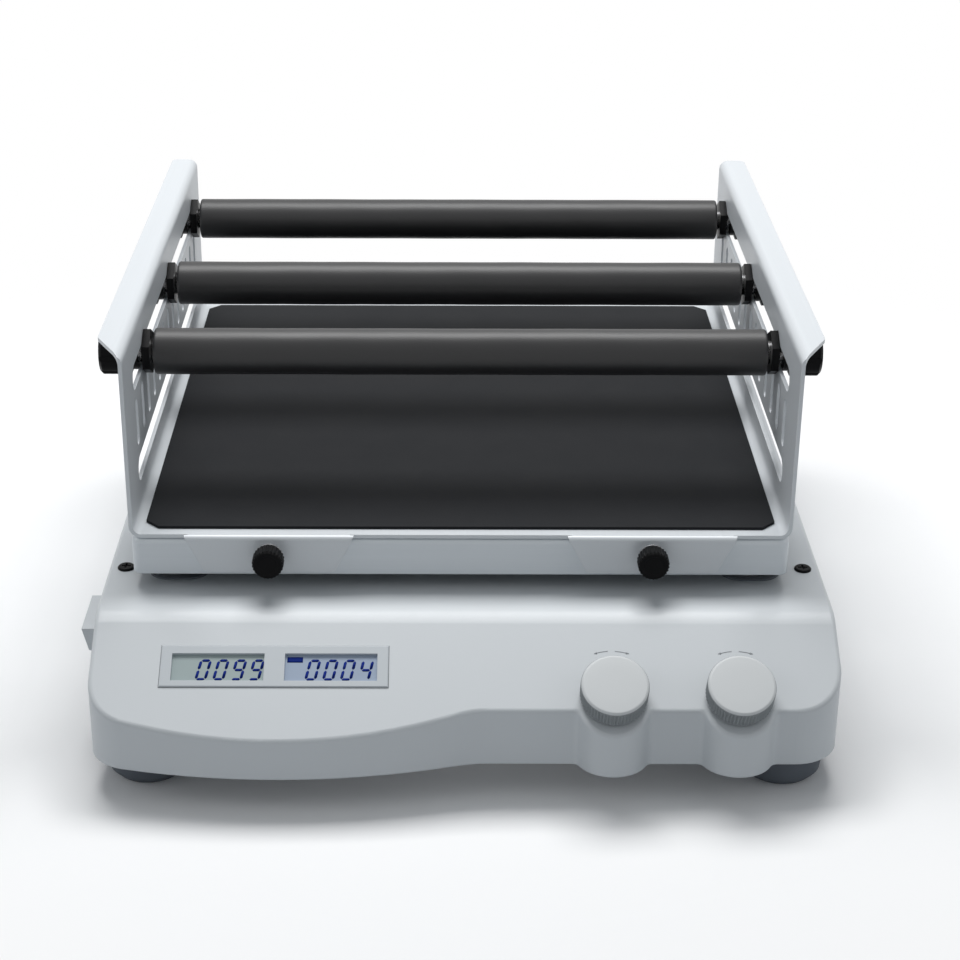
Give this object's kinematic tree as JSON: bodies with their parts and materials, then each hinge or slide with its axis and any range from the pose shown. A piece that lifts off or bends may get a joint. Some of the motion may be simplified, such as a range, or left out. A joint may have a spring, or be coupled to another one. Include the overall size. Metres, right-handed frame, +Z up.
{
  "type": "reciprocating shaker",
  "caption": "Bench reciprocating shaker: painted base with sloped control panel, knobs and screens, and a sliding platform with a slotted clamping tray and padded holding rods.",
  "frame": {"origin": "on the bench under the middle of the whole machine, which is the tray's middle from side to side", "axes": "+X to the right as seen from the control panel and along the stroke, +Y from the control panel towards the back, +Z up"},
  "size_m": [0.3745, 0.421, 0.202],
  "materials": {
    "housing_paint": "satin",
    "steel": "satin",
    "platform_metal": "satin",
    "tray_metal": "brushed",
    "black_rubber": "matte",
    "black_plastic": "matte",
    "knob_grey": "matte",
    "bezel_grey": "satin",
    "screen_glass": "gloss",
    "board": "satin",
    "cast_alloy": "cast",
    "brass": "satin"
  },
  "bodies": {
    "base": {"base_housing": "housing_paint", "base_plate": "cast_alloy", "feet": "black_rubber", "foot_screws": "steel", "housing_screws": "steel", "deck_caps": "black_plastic", "display_bezel": "bezel_grey", "speed_screen": "screen_glass", "time_screen": "screen_glass", "control_board": "board", "speed_encoder": "steel", "time_encoder": "steel", "power_switch": "black_plastic", "power_inlet": "black_plastic", "power_supply": "board", "drive_bracket": "cast_alloy", "crank_bearings": "steel", "motor": "steel", "drive_belt": "black_rubber", "guide_rails": "steel", "post_seals": "black_rubber"},
    "table": {"carriage_frame": "cast_alloy", "rail_blocks": "steel", "drive_pin": "steel", "support_posts": "steel", "platform": "platform_metal", "platform_screws": "steel", "clamping_tray": "tray_metal", "anti_slip_mat": "black_rubber"},
    "motor_rotor": {"motor_pulley": "steel"},
    "crank": {"crank_shaft": "steel", "driven_pulley": "cast_alloy", "counterweight": "brass"},
    "conrod": {"connecting_rod": "cast_alloy", "rod_bearings": "steel"},
    "rocker": {"power_rocker": "black_plastic"},
    "speed_turner": {"speed_rotor": "brass"},
    "speed_control": {"speed_knob": "knob_grey"},
    "time_turner": {"time_rotor": "brass"},
    "time_control": {"time_knob": "knob_grey"},
    "front_rod": {"front_rod_stud": "steel", "front_rod_sleeve": "black_rubber", "front_rod_nuts": "black_plastic"},
    "front_left_clamp": {"front_rod_left_clamp": "black_plastic"},
    "front_right_clamp": {"front_rod_right_clamp": "black_plastic"},
    "middle_rod": {"middle_rod_stud": "steel", "middle_rod_sleeve": "black_rubber", "middle_rod_nuts": "black_plastic"},
    "middle_left_clamp": {"middle_rod_left_clamp": "black_plastic"},
    "middle_right_clamp": {"middle_rod_right_clamp": "black_plastic"},
    "rear_rod": {"rear_rod_stud": "steel", "rear_rod_sleeve": "black_rubber", "rear_rod_nuts": "black_plastic"},
    "rear_left_clamp": {"rear_rod_left_clamp": "black_plastic"},
    "rear_right_clamp": {"rear_rod_right_clamp": "black_plastic"},
    "left_washer": {"left_thumb_washer": "steel"},
    "left_screw": {"left_thumb_screw": "black_plastic"},
    "right_washer": {"right_thumb_washer": "steel"},
    "right_screw": {"right_thumb_screw": "black_plastic"}
  },
  "joints": [
    {"name": "table_slide", "type": "slide", "parent": "base", "child": "table", "axis": [1, 0, 0], "range_m": [-0.0027, 0.0073]},
    {"name": "crank_spin", "type": "hinge", "parent": "base", "child": "crank", "pos_m": [-0.0377, 0.0405, 0.045], "axis": [0, 0, 1], "continuous": true},
    {"name": "motor_spin", "type": "hinge", "parent": "base", "child": "motor_rotor", "pos_m": [-0.1227, 0.0405, 0.045], "axis": [0, 0, 1], "continuous": true},
    {"name": "conrod_pivot", "type": "hinge", "parent": "crank", "child": "conrod", "pos_m": [-0.04, 0.04494, 0.055], "axis": [0, 0, 1], "continuous": true},
    {"name": "rocker_tip", "type": "hinge", "parent": "base", "child": "rocker", "pos_m": [-0.1797, -0.1274, 0.036], "axis": [0, -1, 0], "range_deg": [0, 20]},
    {"name": "speed_turn", "type": "hinge", "parent": "base", "child": "speed_turner", "pos_m": [0.0735, -0.1895, 0.05185], "axis": [0, -0.5075, 0.8616], "continuous": true},
    {"name": "speed_push", "type": "slide", "parent": "speed_turner", "child": "speed_control", "axis": [0, -0.5075, 0.8616], "range_m": [-0.0008, 0], "stiffness_N_per_m": 1500, "springref_m": 0.0006},
    {"name": "time_turn", "type": "hinge", "parent": "base", "child": "time_turner", "pos_m": [0.134, -0.1895, 0.05185], "axis": [0, -0.5075, 0.8616], "continuous": true},
    {"name": "time_push", "type": "slide", "parent": "time_turner", "child": "time_control", "axis": [0, -0.5075, 0.8616], "range_m": [-0.0008, 0], "stiffness_N_per_m": 1500, "springref_m": 0.0006},
    {"name": "front_rod_slide", "type": "slide", "parent": "table", "child": "front_rod", "axis": [0, 1, 0], "range_m": [-0.035, 0.038]},
    {"name": "front_left_clamp_turn", "type": "hinge", "parent": "front_rod", "child": "front_left_clamp", "pos_m": [-0.177, -0.053, 0.176], "axis": [-1, 0, 0], "range_deg": [0, 360]},
    {"name": "front_right_clamp_turn", "type": "hinge", "parent": "front_rod", "child": "front_right_clamp", "pos_m": [0.177, -0.053, 0.176], "axis": [1, 0, 0], "range_deg": [0, 360]},
    {"name": "middle_rod_slide", "type": "slide", "parent": "table", "child": "middle_rod", "axis": [0, 1, 0], "range_m": [-0.0385, 0.0495]},
    {"name": "middle_left_clamp_turn", "type": "hinge", "parent": "middle_rod", "child": "middle_left_clamp", "pos_m": [-0.177, 0.0505, 0.176], "axis": [-1, 0, 0], "range_deg": [0, 360]},
    {"name": "middle_right_clamp_turn", "type": "hinge", "parent": "middle_rod", "child": "middle_right_clamp", "pos_m": [0.177, 0.0505, 0.176], "axis": [1, 0, 0], "range_deg": [0, 360]},
    {"name": "rear_rod_slide", "type": "slide", "parent": "table", "child": "rear_rod", "axis": [0, 1, 0], "range_m": [-0.0395, 0.0025]},
    {"name": "rear_left_clamp_turn", "type": "hinge", "parent": "rear_rod", "child": "rear_left_clamp", "pos_m": [-0.177, 0.1665, 0.176], "axis": [-1, 0, 0], "range_deg": [0, 360]},
    {"name": "rear_right_clamp_turn", "type": "hinge", "parent": "rear_rod", "child": "rear_right_clamp", "pos_m": [0.177, 0.1665, 0.176], "axis": [1, 0, 0], "range_deg": [0, 360]},
    {"name": "left_washer_slide", "type": "slide", "parent": "table", "child": "left_washer", "axis": [0, -1, 0], "range_m": [0, 0.0024]},
    {"name": "left_screw_turn", "type": "hinge", "parent": "left_washer", "child": "left_screw", "pos_m": [-0.0958, -0.127, 0.0955], "axis": [0, -1, 0], "range_deg": [0, 1080]},
    {"name": "right_washer_slide", "type": "slide", "parent": "table", "child": "right_washer", "axis": [0, -1, 0], "range_m": [0, 0.0024]},
    {"name": "right_screw_turn", "type": "hinge", "parent": "right_washer", "child": "right_screw", "pos_m": [0.0958, -0.127, 0.0955], "axis": [0, -1, 0], "range_deg": [0, 1080]}
  ],
  "couplings": [
    {"joint": "motor_spin", "follows": "crank_spin", "ratio": 3.1667},
    {"joint": "conrod_pivot", "follows": "crank_spin", "ratio": -1},
    {"joint": "left_washer_slide", "follows": "left_screw_turn", "m_per_rad": 0.00012732},
    {"joint": "right_washer_slide", "follows": "right_screw_turn", "m_per_rad": 0.00012732}
  ]
}
